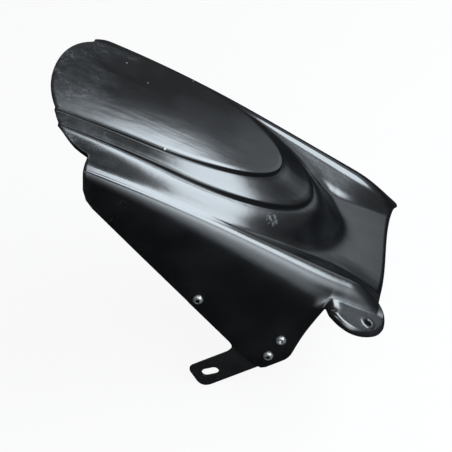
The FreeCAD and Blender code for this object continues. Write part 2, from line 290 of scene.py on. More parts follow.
def lowered(height, inset):
    """Height moved in by a wall: h - inset · √(1 + slope²), the slope by differences."""
    def inner(x, y):
        along = (height(x + SLOPE_STEP, y) - height(x - SLOPE_STEP, y)) / (2.0 * SLOPE_STEP)
        across = (height(x, y + SLOPE_STEP) - height(x, y - SLOPE_STEP)) / (2.0 * SLOPE_STEP)
        return height(x, y) - inset * np.sqrt(1.0 + np.minimum(along**2 + across**2, STEEPEST))
    return inner


print("under the plateau:", round(float(lowered(plateau_height, WALL)(100.0, 0.0)), 1), "mm")

# %% [markdown]
# ## One sheet of nested tongues
# A rectangular grid would cut across the curved steps and leave them jagged. Here the
# columns of the grid run from the tail round the nose and back, like running tracks,
# and the rows step outwards from a slit in the middle to the rails. Each step gets
# rows of its own for its rounded edge and its rounded foot.

# %% Columns of the tracks
SIDE_COLUMNS = 45
NOSE_COLUMNS = 360

side = np.linspace(0.0, 1.0, SIDE_COLUMNS, endpoint=False)
turn = np.radians(np.linspace(-90.0, 90.0, NOSE_COLUMNS + 1))
along = np.concatenate([side, np.ones(NOSE_COLUMNS + 1), side[::-1]])
angle = np.concatenate([np.full(SIDE_COLUMNS, turn[0]), turn, np.full(SIDE_COLUMNS, turn[-1])])
columns = along.size
print(columns, "columns round each track")

# %% Rear end, front end and the tracks between
TAIL_MIDDLE = -22.0
TAIL_HALF_RIGHT = 74.8
TAIL_HALF_LEFT = 92.5
TAIL_REACH = 57.7
TAIL_START = 2.0
SLANT = 0.25
SLANT_POINT = (-20.0, 64.0)
FRONT_MIDDLE = 351.0
FRONT_SKEW = 0.056
FRONT_SWEEP = 25.0
SWEEP_HALF = 142.0
TIP_HOOK = (76.0, 45.0)


def tail_x(y):
    """Rear end: two quarter ovals, and on the left a slanting line where it reaches further."""
    half = np.where(y < TAIL_MIDDLE, TAIL_HALF_RIGHT, TAIL_HALF_LEFT)
    share = np.clip((y - TAIL_MIDDLE) / half, -1.0, 1.0)
    oval = TAIL_START - TAIL_REACH * np.sqrt(1.0 - share**2)
    slanting = SLANT * (y - SLANT_POINT[1]) + SLANT_POINT[0]
    return np.minimum(oval, np.where(y > 0.0, slanting, TAIL_START))


def front_x(y):
    """Front end of the deck: a skewed line with a cubic sweep and a hooked left tip."""
    sweep = FRONT_SWEEP * (y / SWEEP_HALF) ** 3
    return FRONT_MIDDLE + FRONT_SKEW * y + sweep + bend_after(y, TIP_HOOK)


def track(half, straight, nose):
    """Straight run from the tail, half an ellipse round the nose, straight run back."""
    y = half * np.sin(angle)
    start = tail_x(y)
    x = start + (straight - start) * along + (nose - straight) * np.cos(angle) * (along == 1.0)
    return x, y


print("length in the middle:", round(float(front_x(0.0) - tail_x(0.0)), 1), "mm")

# %% The outer track
FRONT_SHARE = 30.0
RAIL_SPLIT = 110.0
CROWDING = 0.6
CORNER_GUESS = 340.0
CORNER_ROUNDS = 60
TINY = 1e-9


def corner_x(sign):
    """Where the rail crest meets the front end, found by repeated substitution."""
    x = np.array(CORNER_GUESS)
    for _ in range(CORNER_ROUNDS):
        x = 0.5 * x + 0.5 * front_x(sign * rail_half(x))
    return float(x)


def outer_track():
    """Right rail, front end and left rail as one line over the same columns."""
    degrees = np.degrees(angle)
    corners = {-1.0: corner_x(-1.0), 1.0: corner_x(1.0)}
    x = np.zeros(columns)
    y = np.zeros(columns)
    for sign, corner in corners.items():
        on_side = np.sign(angle) == sign
        rear = on_side & (along < 1.0)
        start = float(tail_x(np.array(sign * BULGE[0])))
        x[rear] = start + (RAIL_SPLIT - start) * along[rear]
        rail = on_side & (along == 1.0) & (np.abs(degrees) >= FRONT_SHARE)
        share = (90.0 - np.abs(degrees[rail])) / (90.0 - FRONT_SHARE)
        x[rail] = RAIL_SPLIT + (corner - RAIL_SPLIT) * share * (1.0 + CROWDING * (1.0 - share))
        y[rear | rail] = sign * rail_half(x[rear | rail])
    front = np.abs(degrees) < FRONT_SHARE
    share = 0.5 + 0.5 * degrees[front] / FRONT_SHARE
    y_right = -rail_half(corners[-1.0])
    y[front] = y_right + (rail_half(corners[1.0]) - y_right) * share
    x[front] = front_x(y[front])
    return x, y


outer_x, outer_y = outer_track()
right_rail = np.flatnonzero(np.degrees(angle) <= -FRONT_SHARE + TINY)
left_rail = np.flatnonzero(np.degrees(angle) >= FRONT_SHARE - TINY)[::-1]
print(right_rail.size, "columns on the right rail,", left_rail.size, "on the left")

# %% [markdown]
# The rows are stacked level by level. A moulded step is never sharp: it leans out by a
# draft angle, and its edge and its foot are rounded by quadratic curves that meet half
# way down. The rounding shrinks with the step, so low steps fade out by themselves.

# %% Rows of the crown
STEP_ROUND = 1.1
ROUND_LIMIT = 0.7
STEP_DRAFT = 0.18
CURVE = np.linspace(0.0, 1.0, 5)[1:]
SLIT = (0.0, 40.0, 120.0)
TONGUE_ROWS = (15, 7)
BULGE_ROWS = 17
DECK_ROWS = 15


def mixed(first, last, share):
    """Each value of the first moved by a share towards that of the last."""
    return [a + (b - a) * share for a, b in zip(first, last)]


def crown(inset):
    """Grid of points: slit, plateau, step, ring, step, bulge and deck, row by row."""
    heights = [lowered(h, inset) for h in (plateau_height, ring_height, bulge_height)]
    tongues = [(half - inset, straight, nose - inset) for half, straight, nose in (PLATEAU, RING)]
    rows = []

    def add(plan, height, shift=0.0):
        rows.append(np.stack([plan[0], plan[1], height(*plan) + shift], axis=1))

    start = SLIT
    first = 0
    for (half, straight, nose), high, low, count in zip(tongues, heights, heights[1:], TONGUE_ROWS):
        plan = track(half, straight, nose)
        step = np.abs(high(*plan) - low(*plan))
        rounding = np.minimum(STEP_ROUND, ROUND_LIMIT * step)
        run = STEP_DRAFT * step
        end = (half - rounding, straight, nose - rounding)
        for share in np.linspace(0.0, 1.0, count)[first:]:
            add(track(*mixed(start, end, share)), high)
        for t in CURVE:
            out = 0.5 * run * t**2 - rounding * (1.0 - t) ** 2
            add(track(half + out, straight, nose + out), high, -0.5 * step * t**2)
        for t in CURVE:
            out = 0.5 * run * (1.0 - t) ** 2 + 2.0 * run * t * (1.0 - t) + (run + rounding) * t**2
            add(track(half + out, straight, nose + out), low, 0.5 * step * (1.0 - t) ** 2)
        start = (half + run + rounding, straight, nose + run + rounding)
        first = 1
    for share in np.linspace(0.0, 1.0, BULGE_ROWS)[1:]:
        add(track(*mixed(start, BULGE, share)), heights[2])
    for share in np.linspace(0.0, 1.0, DECK_ROWS)[1:]:
        add(mixed(track(*BULGE), (outer_x, outer_y), share), heights[2])
    rails = np.concatenate([right_rail, left_rail])
    rows[-1][rails, 2] = rail_z(outer_x[rails], outer_y[rails]) - inset
    return np.stack(rows)


print("crown grid:", crown(0.0).shape)

# %% [markdown]
# ## Rolled edges and skirts
# Outside the crest each rail rolls down through a quarter of an ellipse into a flat
# skirt. A bevel could round such an edge, but the roll is deeper than it is wide and
# changes along the rail, so an ellipse with its own width and drop at each x fits it.

# %% Lines with rounded corners, and smooth lines
FILLET_POINTS = 12
FINER = 8


def resampled(line, count):
    """A given number of points at equal distances along a polyline."""
    steps = np.linalg.norm(np.diff(line, axis=0), axis=1)
    length = np.concatenate([[0.0], np.cumsum(steps)])
    shares = np.linspace(0.0, 1.0, count)
    return np.stack([np.interp(shares * length[-1], length, c) for c in line.T], axis=1)


def filleted(corners, radii, count):
    """Polyline with its corners rounded by quadratic curves, resampled by length."""
    corners = np.array(corners, float)
    parts = [corners[:1]]
    t = np.linspace(0.0, 1.0, FILLET_POINTS)[:, None]
    for before, corner, after, radius in zip(corners, corners[1:], corners[2:], radii):
        back = before - corner
        on = after - corner
        a = corner + back * (radius / np.linalg.norm(back))
        b = corner + on * (radius / np.linalg.norm(on))
        parts.append((1.0 - t) ** 2 * a + 2.0 * t * (1.0 - t) * corner + t**2 * b)
    parts.append(corners[-1:])
    return resampled(np.concatenate(parts), count)


def smooth_line(knots, count):
    """Cubic through the knots, each tangent taken from the two neighbours."""
    knots = np.array(knots, float)
    gaps = np.linalg.norm(np.diff(knots, axis=0), axis=1)
    place = np.concatenate([[0.0], np.cumsum(gaps)])
    tangent = np.gradient(knots, place, axis=0)
    s = np.linspace(0.0, place[-1], count * FINER)
    k = np.clip(np.searchsorted(place, s, side="right") - 1, 0, len(knots) - 2)
    h = gaps[k][:, None]
    t = ((s - place[k]) / gaps[k])[:, None]
    line = ((2 * t**3 - 3 * t**2 + 1) * knots[k] + (t**3 - 2 * t**2 + t) * h * tangent[k]
            + (3 * t**2 - 2 * t**3) * knots[k + 1] + (t**3 - t**2) * h * tangent[k + 1])
    return resampled(line, count)


print("a rounded corner has", FILLET_POINTS, "points")

# %% The roll
ROLL_ROWS = 25
ROLL_DROP_REAR = 34.0
ROLL_DROP_GAIN = 14.0
LEAN = math.tan(math.radians(30.0))
LEAN_LENGTH = 80.0


def roll_drop(x):
    """Depth of the roll, easing from the tail to the front."""
    return ROLL_DROP_REAR + ROLL_DROP_GAIN * ease(x / RAIL_LENGTH)


def lean(x, fall):
    """How far the rear edge comes forward as it falls: a slant that fades out along x."""
    return LEAN * fall * np.clip(1.0 - x / LEAN_LENGTH, 0.0, 1.0)


def roll(x, sign, reach, inset):
    """Quarter ellipse from the crest to the skirt plane, down to a reach, in equal turns."""
    half = rail_half(x)
    drop = roll_drop(x) - inset
    last_turn = np.arccos(np.clip(1.0 - reach / drop, 0.0, 1.0))
    turns = np.linspace(0.0, 1.0, ROLL_ROWS)[:, None] * last_turn
    y = sign * (half + (SKIRT_HALF - inset - half) * np.sin(turns))
    fall = drop * (1.0 - np.cos(turns))
    return np.stack([x + lean(x, fall), y, rail_z(x, sign) - inset - fall], axis=-1)


print("the roll is", float(roll_drop(180.0)), "mm deep at mid length")

# %% [markdown]
# The left skirt is shallow. Its lower edge falls slightly, rises near the front and is
# rounded off at both ends. The roll is simply cut at that edge, and where the roll ends
# above it, a flat strip hangs down to it.

# %% The left side
LEFT_SKIRT_ROWS = 9
SKIRT_REAR = (18.6, -39.0)
LEFT_EDGE_REAR = -36.0
LEFT_EDGE_FALL = 0.0355
RISE = 0.4
RISE_START = 302.0
RISE_ROUNDING = 5.0
RISE_END_ROUNDING = 4.0
HEEL = 14.0
HEEL_START = 10.0
HEEL_LENGTH = 14.0
TOE = 17.0
TOE_START = 345.0
TOE_LENGTH = 23.0


def left_edge(x):
    """Lower edge of the left skirt: a slight fall, then a rise, with both corners rounded."""
    rise = RISE * (soft(x - RISE_START, RISE_ROUNDING) - soft(x - TOE_START, RISE_END_ROUNDING))
    heel = HEEL * np.clip(1.0 - (x - HEEL_START) / HEEL_LENGTH, 0.0, 1.0) ** 2
    toe = TOE * np.clip((x - TOE_START) / TOE_LENGTH, 0.0, 1.0) ** 2
    return LEFT_EDGE_REAR - LEFT_EDGE_FALL * (x - SKIRT_REAR[0]) + rise + heel + toe


def left_side(inset):
    """Roll down to the lower edge, which the skirt below it then follows."""
    x = outer_x[left_rail]
    edge = left_edge(x)
    top = rail_z(x, 1.0) - inset
    rolled = roll(x, 1.0, np.minimum(roll_drop(x) - inset, top - edge), inset)
    hem_x, hem_y, hem_z = rolled[-1].T
    down = np.linspace(0.0, 1.0, LEFT_SKIRT_ROWS)[1:, None]
    z = hem_z + (np.minimum(edge, hem_z) - hem_z) * down
    y = np.broadcast_to(hem_y, z.shape)
    skirt = np.stack([hem_x + lean(x, hem_z - z), y, z], axis=-1)
    return np.concatenate([rolled, skirt])


print("left side grid:", left_side(0.0).shape)

# %% [markdown]
# ## The ear and the right side
# The ear is a nearly flat tongue with the fixing hole. It grows out of the roll, so a
# separate piece with a fillet would be hard to make smooth. Here it is ruled in plan
# from the crest to its outline, its height is a formula, and along the rail the roll
# is mixed into it bit by bit. Its rim turns down in a small lip.

# %% Columns of the right rail
EAR_START = 250.0
EAR_REAR = 284.0

right_x = outer_x[right_rail]
skirt_columns = int(np.searchsorted(right_x, EAR_REAR)) + 1
right_x[skirt_columns - 1] = EAR_REAR
outer_x[right_rail] = right_x
outer_y[right_rail] = -rail_half(right_x)
blend_from = int(np.searchsorted(right_x, EAR_START))
crest_end = np.array([right_x[-1], -rail_half(right_x[-1])])
print(skirt_columns, "columns end in the skirt; the ear's blend starts at", blend_from)

# %% Height and border of the ear
EAR_OUTLINE = [(EAR_REAR, -SKIRT_HALF), (286.0, -130.5), (292.5, -137.5), (302.0, -142.3),
               (312.0, -144.0), (323.0, -142.0), (334.0, -136.5), (344.0, -128.0),
               (350.0, -118.0), (351.0, -107.0)]
EAR_TILT = math.tan(math.radians(1.5))
EAR_FALL = 14.1
EAR_SPAN = 20.0
EAR_TURN = 0.75
EAR_SOFTNESS = 2.5
LIP_RADIUS = 5.0
LIP_OPENING = 0.12
LIP_CLOSING = 0.25


def ear_height(x, y):
    """From the crest a long round and a short hollow down to the ear, then a slight steady fall."""
    near = np.minimum(x, crest_end[0])
    out = np.abs(y) - rail_half(near)
    crest = rail_z(near, -1.0)
    t = np.clip(out / EAR_SPAN, 0.0, 1.0)
    s_curve = np.where(t < EAR_TURN, t * t / EAR_TURN, 1.0 - (1.0 - t) ** 2 / (1.0 - EAR_TURN))
    return crest - (EAR_FALL + crest) * s_curve - EAR_TILT * soft(out - EAR_SPAN, EAR_SOFTNESS)


def ear_border():
    """Hem of the roll, then the ear's outline drawn in by the lip; with the outward normals."""
    flat = skirt_columns - blend_from
    x = right_x[blend_from:]
    outline = smooth_line(EAR_OUTLINE + [tuple(crest_end)], x.size - flat + 1)
    tangent = np.gradient(outline, axis=0)
    normal = np.stack([tangent[:, 1], -tangent[:, 0]], axis=1)
    normal /= np.linalg.norm(normal, axis=1)[:, None]
    share = np.linspace(0.0, 1.0, len(outline))
    opened = (ease(share / LIP_OPENING) * ease((1.0 - share) / LIP_CLOSING))[:, None]
    hem = np.stack([x[:flat], np.full(flat, -SKIRT_HALF)], axis=1)
    return np.concatenate([hem, (outline - normal * LIP_RADIUS * opened)[1:]]), normal, opened


print("points along the ear's border:", len(ear_border()[0]))

# %% The roll and the ear in one patch
EAR_FULL = 308.0
EAR_NARROW = 13.0
HEM_REAR = 18.0
HEM_SLOPE = 0.3
HEM_ROUNDING = 2.0


def right_side(inset):
    """Roll blended into the ear, which is ruled in plan from the crest to its border."""
    depth = roll_drop(right_x)
    reach = depth - soft(depth - HEM_REAR - HEM_SLOPE * right_x, HEM_ROUNDING) - inset
    body = roll(right_x, -1.0, reach, inset)
    crest = np.stack([right_x[blend_from:], -rail_half(right_x[blend_from:])], axis=1)
    out = np.linspace(0.0, 1.0, ROLL_ROWS)[:, None, None]
    plan = crest + (ear_border()[0] - crest) * out
    height = lowered(ear_height, inset)(plan[..., 0], plan[..., 1])
    ear = np.concatenate([plan, height[..., None]], axis=-1)
    start = EAR_START + EAR_NARROW * out
    full = EAR_FULL - EAR_NARROW * out
    share = ease((right_x[None, blend_from:, None] - start) / (full - start))
    body[:, blend_from:] = (1.0 - share) * body[:, blend_from:] + share * ear
    body[0, :, 2] = rail_z(right_x, -1.0) - inset
    return body


print("ear and roll grid:", right_side(0.0).shape)

# %% The lip of the ear and the right skirt
LIP_ROWS = 7
LIP_REACH = 2.0
RIGHT_SKIRT_ROWS = 26
SKIRT_LOW = (262.0, -127.5)
SKIRT_TOE = (268.0, -127.5)
SKIRT_FRONT = [(284.5, -66.0), (289.3, -101.0), (274.0, -127.5)]
REAR_RADII = (10.5, 5.5)
FRONT_RADII = (15.0, 7.0, 3.5)
FLATTENING = 2.5


def ear_lip(border, inset):
    """Quarter round turned down along the outline, opening from the skirt onwards."""
    _, normal, opened = ear_border()
    radius = (LIP_RADIUS - inset) * opened
    turns = np.radians(np.linspace(0.0, 90.0, LIP_ROWS))[1:, None, None]
    plan = border[None, :, :2] + normal[None] * radius * np.sin(turns)
    fall = radius * (1.0 - np.cos(turns))
    lip = np.concatenate([plan, border[None, :, 2:] - fall], axis=-1)
    last = lip[-1:].copy()
    last[..., 2] -= LIP_REACH * opened[None, :, 0]
    return np.concatenate([border[None], lip, last])


def right_skirt(hem, inset):
    """Level rows ruled from the rear and lower edge to the front edge, hung from the hem."""
    hem_line = hem[:, [0, 2]]
    rear_corners = [hem_line[0], SKIRT_REAR, SKIRT_LOW, SKIRT_TOE]
    front_corners = [hem_line[-1]] + SKIRT_FRONT + [SKIRT_TOE]
    rear = filleted(rear_corners, REAR_RADII, RIGHT_SKIRT_ROWS)
    front = filleted(front_corners, FRONT_RADII, RIGHT_SKIRT_ROWS)
    across = ((hem[:, 0] - hem[0, 0]) / (hem[-1, 0] - hem[0, 0]))[None, :, None]
    down = np.linspace(0.0, 1.0, RIGHT_SKIRT_ROWS)[:, None]
    ruled = rear[:, None] + (front - rear)[:, None] * across
    sag = hem_line[None] - ruled[:1]
    plane = ruled + sag * ((1.0 - down) ** 2)[:, :, None]
    y = hem[None, :, 1] + (inset - SKIRT_HALF - hem[None, :, 1]) * ease(down * FLATTENING)
    return np.stack([plane[..., 0], y, plane[..., 1]], axis=-1)


print("right skirt grid:", right_skirt(right_side(0.0)[-1, :skirt_columns], 0.0).shape)

# %% [markdown]
# The hole sits in a low boss. A boolean would leave long thin faces round it, so some
# cells of the grid are left out instead, and rings that start on the gap's square edge
# run inwards, over the boss and onto the circle. Underneath, the boss is deeper.

# %% The hole in the ear
EAR_HOLE = np.array([329.3, -123.9])
HOLE_RADIUS = 4.25
BOSS_RADIUS = 7.5
BOSS_HEIGHT = 0.45
BOSS_DEPTH = 5.0
HOLE_ROWS = 4
HOLE_COLUMNS = 6
# A ring is its share of the boss's radius and its share of the boss's height.
BOSS_RINGS = ((1.15, 0.0), (1.07, 0.15), (1.02, 0.6), (0.95, 1.0), (0.8, 1.0), (0.68, 1.0),
              (0.61, 0.85), (HOLE_RADIUS / BOSS_RADIUS, 0.45))


def opened_ear(body, inset):
    """Cells round the hole replaced by rings that run from a square onto the circle."""
    away = np.linalg.norm(body[:, skirt_columns:, :2] - EAR_HOLE, axis=-1)
    row, column = np.unravel_index(np.argmin(away), away.shape)
    column += skirt_columns
    r0, r1 = row - HOLE_ROWS, row + HOLE_ROWS
    c0, c1 = column - HOLE_COLUMNS, column + HOLE_COLUMNS
    edge = np.concatenate([body[r0, c0:c1], body[r0:r1, c1], body[r1, c1:c0:-1], body[r1:r0:-1, c0]])
    edge = np.concatenate([edge, edge[:1]])
    ray = edge[:, :2] - EAR_HOLE
    ray /= np.linalg.norm(ray, axis=1)[:, None]
    height = lowered(ear_height, inset)
    lift = BOSS_HEIGHT if inset == 0.0 else -BOSS_DEPTH
    rings = [edge]
    for radius, raised in BOSS_RINGS:
        plan = EAR_HOLE + ray * radius * BOSS_RADIUS
        z = height(plan[:, 0], plan[:, 1]) + lift * raised
        rings.append(np.column_stack([plan, z]))
    return [body[: r0 + 1], body[r1:], body[r0 : r1 + 1, : c0 + 1], body[r0 : r1 + 1, c1:],
            np.stack(rings)]


print("hole radius", HOLE_RADIUS, "in a boss of", BOSS_RADIUS)

# %% [markdown]
# ## From two skins to one closed shell
# The moulding has one wall thickness, so the same recipe with an inset gives the inner
# skin, point for point. A Solidify modifier could do that too, but at the tight rounds
# of the steps its inner wall could cross itself. Where a skin ends, the two are joined
# by strips that swell out a little: a moulded edge is rounded, and catches the light.

# %% Weld the patches
WELD_STEPS = 50.0


def skin(inset):
    """All patches of one skin, in the same order for every inset."""
    body = right_side(inset)
    rim = body[-1, skirt_columns - 1 :]
    return ([crown(inset), left_side(inset)] + opened_ear(body, inset)
            + [ear_lip(rim, inset), right_skirt(body[-1, :skirt_columns], inset)])


def quads(shape, start):
    """Corner numbers of every cell of a grid whose first point has the given number."""
    number = start + np.arange(shape[0] * shape[1]).reshape(shape[:2])
    return np.stack([number[:-1, :-1], number[:-1, 1:], number[1:, 1:], number[1:, :-1]],
                    axis=-1).reshape(-1, 4)


def joined(patches, cells_of):
    """Points of all patches in one array, and their cells, numbered to match."""
    starts = np.cumsum([0] + [p.shape[0] * p.shape[1] for p in patches])
    cells = [cells_of(p.shape, start) for p, start in zip(patches, starts)]
    return np.concatenate([p.reshape(-1, 3) for p in patches]), np.concatenate(cells)


def two_skins():
    """Outer points, the inner point of each, and the cells; points on one 0.02 mm step are one."""
    outer, cells = joined(skin(0.0), quads)
    inner, _ = joined(skin(WALL), quads)
    _, first, number = np.unique(np.round(outer * WELD_STEPS).astype(np.int64), axis=0,
                                 return_index=True, return_inverse=True)
    cells = number.reshape(-1)[cells]
    corners = 1 + np.count_nonzero(np.diff(np.sort(cells, axis=1), axis=1), axis=1)
    return outer[first], inner[first], cells[corners > 2]


top, under, cells = two_skins()
print(len(top), "points and", len(cells), "cells in each skin")

# %% Round the rim
# A rim strip is its share of the wall and how far it swells out, in millimetres.
RIM = ((0.12, 0.55), (0.38, 0.85), (0.62, 0.85), (0.88, 0.55))
SHORTEST = 1e-6


def free_edges(cells, count):
    """Edges that only one cell uses, and the number of that cell."""
    edges = np.stack([cells, np.roll(cells, -1, axis=1)], axis=-1).reshape(-1, 2)
    owner = np.repeat(np.arange(len(cells)), 4)
    real = edges[:, 0] != edges[:, 1]
    edges, owner = edges[real], owner[real]
    key = np.sort(edges, axis=1) @ np.array([count, 1])
    _, place, uses = np.unique(key, return_index=True, return_counts=True)
    free = place[uses == 1]
    return edges[free], owner[free]


def unit(vectors):
    """Vectors divided by their lengths."""
    return vectors / np.maximum(np.linalg.norm(vectors, axis=1), SHORTEST)[:, None]


def shell_mesh():
    """Outer skin, inner skin and the rounded strips along all free edges."""
    count = len(top)
    border, owner = free_edges(cells, count)
    outward = top[border].mean(axis=1) - top[cells].mean(axis=1)[owner]
    away = np.zeros((count, 3))
    np.add.at(away, border[:, 0], outward)
    np.add.at(away, border[:, 1], outward)
    wall = unit(under - top)
    away = unit(away - wall * np.sum(away * wall, axis=1)[:, None])
    strips = [top + (under - top) * share + away * swell for share, swell in RIM]
    order = [0] + [2 + i for i in range(len(RIM))] + [1]
    faces = [cells, cells[:, ::-1] + count]
    for a, b in zip(order, order[1:]):
        faces.append(np.column_stack([border[:, 1] + a * count, border[:, 0] + a * count,
                                      border[:, 0] + b * count, border[:, 1] + b * count]))
    return np.concatenate([top, under] + strips), np.concatenate(faces)


def clean(points, faces):
    """Only the points in use, and quads with a corner used twice turned into triangles."""
    used, faces = np.unique(faces, return_inverse=True)
    faces = faces.reshape(-1, 4)
    twice = (np.diff(np.sort(faces, axis=1), axis=1) == 0).any(axis=1)
    pinched = [list(dict.fromkeys(face)) for face in faces[twice].tolist()]
    return points[used], faces[~twice].tolist() + [face for face in pinched if len(face) == 3]


points, polygons = clean(*shell_mesh())
print("the shell has", len(points), "points")

# %% Mesh objects at the origin
def add_object(name, data):
    """Object that shows the data in the scene, unmoved and unturned."""
    thing = bpy.data.objects.new(name, data)
    bpy.context.scene.collection.objects.link(thing)
    return thing


def built_from(points, polygons):
    """Bmesh with the given points and faces."""
    raw = bpy.data.meshes.new("raw")
    raw.from_pydata(points, [], polygons)
    build = bmesh.new()
    build.from_mesh(raw)
    bpy.data.meshes.remove(raw)
    return build


def finished(name, build, rounded):
    """Mesh object, faces outwards; faces with a rounded number of corners are shaded smooth."""
    bmesh.ops.recalc_face_normals(build, faces=build.faces)
    mesh = bpy.data.meshes.new(name)
    build.to_mesh(mesh)
    open_edges = sum(1 for edge in build.edges if len(edge.link_faces) != 2)
    build.free()
    corners = np.zeros(len(mesh.polygons), np.int32)
    mesh.polygons.foreach_get("loop_total", corners)
    mesh.polygons.foreach_set("use_smooth", np.isin(corners, rounded))
    print(name, "has", int(np.sum(corners - 2)), "triangles,", open_edges, "edges without two faces")
    return add_object(name, mesh)


shell = finished("shell_moulding", built_from(to_frame(points), polygons), (3, 4))
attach(shell, "root")
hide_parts("mudguard_shell")

# %% [markdown]
# ## The bracket
# The bracket is a stamped steel plate behind the skirt, with an arm that hangs below it
# and ends in a slot. It could be an extruded outline with a Bevel modifier. A stamped
# edge is slightly round everywhere, so here a small rounded profile is carried round the
# outline and round every hole, which gives even faces, and the two sides are filled.

# %% Outline and holes of the bracket
SCREWS = np.array([(172.0, -84.0), (270.0, -84.0), (270.0, -109.0)])
SCREW_HOLE = 3.3
PLATE_MARGIN = 12.0
SLOT_CENTRE = np.array([233.5, -163.5])
SLOT_ANGLE = math.radians(48.5)
SLOT_RADIUS = 5.0
SLOT_REACH = 4.0
ARM_ANGLE = math.radians(60.0)
ARM_HALF = 15.5
ARM_END = 18.5
SHOWN = 2.4
BRACKET_RADII = (9.0, 9.0, 13.0, 7.0, 12.0, 9.0, 9.0)
OUTLINE_POINTS = 400
HOLE_POINTS = 48


def head_edge(x):
    """Height of the head's lower edge: just below the sloping edge of the skirt."""
    slope = (SKIRT_LOW[1] - SKIRT_REAR[1]) / (SKIRT_LOW[0] - SKIRT_REAR[0])
    return SKIRT_REAR[1] + slope * (x - SKIRT_REAR[0]) - SHOWN


def bracket_outline():
    """Head along the skirt's edge and the arm below it, with rounded corners, once round."""
    down = -np.array([math.cos(ARM_ANGLE), math.sin(ARM_ANGLE)])
    out = np.array([math.sin(ARM_ANGLE), -math.cos(ARM_ANGLE)])
    end = SLOT_CENTRE + down * ARM_END
    left, right = end - out * ARM_HALF, end + out * ARM_HALF
    rear, front = SCREWS[0, 0] - PLATE_MARGIN, SCREWS[1, 0] + PLATE_MARGIN
    top_z = SCREWS[0, 1] + PLATE_MARGIN
    slope = head_edge(1.0) - head_edge(0.0)
    rise = (head_edge(left[0]) - left[1]) / (math.sin(ARM_ANGLE) - slope * math.cos(ARM_ANGLE))
    start = (0.5 * (rear + front), top_z)
    front_low = (front, right[1] + (front - right[0]) * math.tan(ARM_ANGLE))
    corners = [start, (rear, top_z), (rear, head_edge(rear)), left - down * rise, left, right,
               front_low, (front, top_z), start]
    return filleted(corners, BRACKET_RADII, OUTLINE_POINTS)[:-1]


def round_hole(centre, radius, reach=0.0, turn=0.0):
    """Two half circles, drawn apart along a direction by a reach each; clockwise."""
    t = np.linspace(0.0, -2.0 * np.pi, HOLE_POINTS, endpoint=False) + 0.5 * np.pi / HOLE_POINTS
    apart = np.sign(np.cos(t))[:, None] * reach * np.array([math.cos(turn), math.sin(turn)])
    return centre + apart + radius * np.stack([np.cos(t + turn), np.sin(t + turn)], axis=1)


loops = [bracket_outline()] + [round_hole(centre, SCREW_HOLE) for centre in SCREWS]
loops.append(round_hole(SLOT_CENTRE, SLOT_RADIUS, SLOT_REACH, SLOT_ANGLE))
print("the bracket has", len(loops), "closed edges")

# %% A plate with rounded edges
PLATE_THICKNESS = 3.0
PLATE_MIDDLE_Y = WALL - SKIRT_HALF + 0.5 * PLATE_THICKNESS
EDGE_ROUND = 0.5
EDGE_ROWS = 4


def plate_edge(loop):
    """Rows round a loop: a quarter round, moved inwards by its sine, near each of the faces."""
    turns = np.radians(np.linspace(0.0, 90.0, EDGE_ROWS))
    inset = EDGE_ROUND * (1.0 - np.sin(turns))
    aside = 0.5 * PLATE_THICKNESS - EDGE_ROUND * (1.0 - np.cos(turns))
    inset = np.concatenate([inset, inset[::-1]])[:, None, None]
    aside = np.concatenate([aside, -aside[::-1]])[:, None]
    tangent = np.roll(loop, -1, axis=0) - np.roll(loop, 1, axis=0)
    normal = unit(np.stack([tangent[:, 1], -tangent[:, 0]], axis=1))
    plan = loop - normal * inset
    y = np.broadcast_to(PLATE_MIDDLE_Y + aside, plan.shape[:2])
    return to_frame(np.stack([plan[..., 0], y, plan[..., 1]], axis=-1))


def bands(shape, start):
    """Corner numbers of every cell of a grid whose rows are closed rings."""
    number = start + np.arange(shape[0] * shape[1]).reshape(shape[:2])
    before = np.roll(number, 1, axis=1)
    return np.stack([before[:-1], number[:-1], number[1:], before[1:]], axis=-1).reshape(-1, 4)


def plate_piece(name, loops):
    """Rounded edges round all loops, with the two flat faces filled between their rims."""
    points, cells = joined([plate_edge(loop) for loop in loops], bands)
    build = built_from(points, cells.tolist())
    middle_y = PANEL_ORIGIN[1] + MILLIMETRE * PLATE_MIDDLE_Y
    rims = [edge for edge in build.edges if len(edge.link_faces) == 1]
    for sign in (-1.0, 1.0):
        half = [edge for edge in rims if (edge.verts[0].co.y - middle_y) * sign > 0.0]
        bmesh.ops.triangle_fill(build, edges=half, use_beauty=True)
    return finished(name, build, (4,))


bracket = plate_piece("bracket_stamping", loops)
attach(bracket, "root")
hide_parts("bracket_plate")

# %% [markdown]
# ## The fasteners
# Three button-head screws with washers and nuts hold the bracket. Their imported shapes
# are right, and could be shown as they are, but real ones have eased edges that glint.
# So each is copied, its loose triangles are merged and its sharp edges bevelled.

# %% Fasteners with eased edges
EASED = 0.00018
SAME_POINT = 1e-6
FLAT_ANGLE = math.radians(0.5)
SHARP_ANGLE = math.radians(35.0)
fasteners = []


def eased_copy(node):
    """Merged copy of a node whose sharp edges are bevelled in two segments."""
    build = bmesh.new()
    build.from_mesh(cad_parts[node].data)
    bmesh.ops.remove_doubles(build, verts=build.verts, dist=SAME_POINT)
    bmesh.ops.dissolve_limit(build, angle_limit=FLAT_ANGLE, verts=build.verts, edges=build.edges)
    whole = [edge for edge in build.edges if edge.is_manifold]
    sharp = [edge for edge in whole if edge.calc_face_angle() > SHARP_ANGLE]
    bmesh.ops.bevel(build, geom=sharp, offset=EASED, segments=2, profile=0.5, affect="EDGES",
                    clamp_overlap=True)
    return finished(node + "_eased", build, (3, 4))


for kind in ("screw", "washer", "nut"):
    for place_name in ("rear", "upper", "lower"):
        node = kind + "_" + place_name
        piece = eased_copy(node)
        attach(piece, "root")
        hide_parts(node)
        fasteners.append(piece)

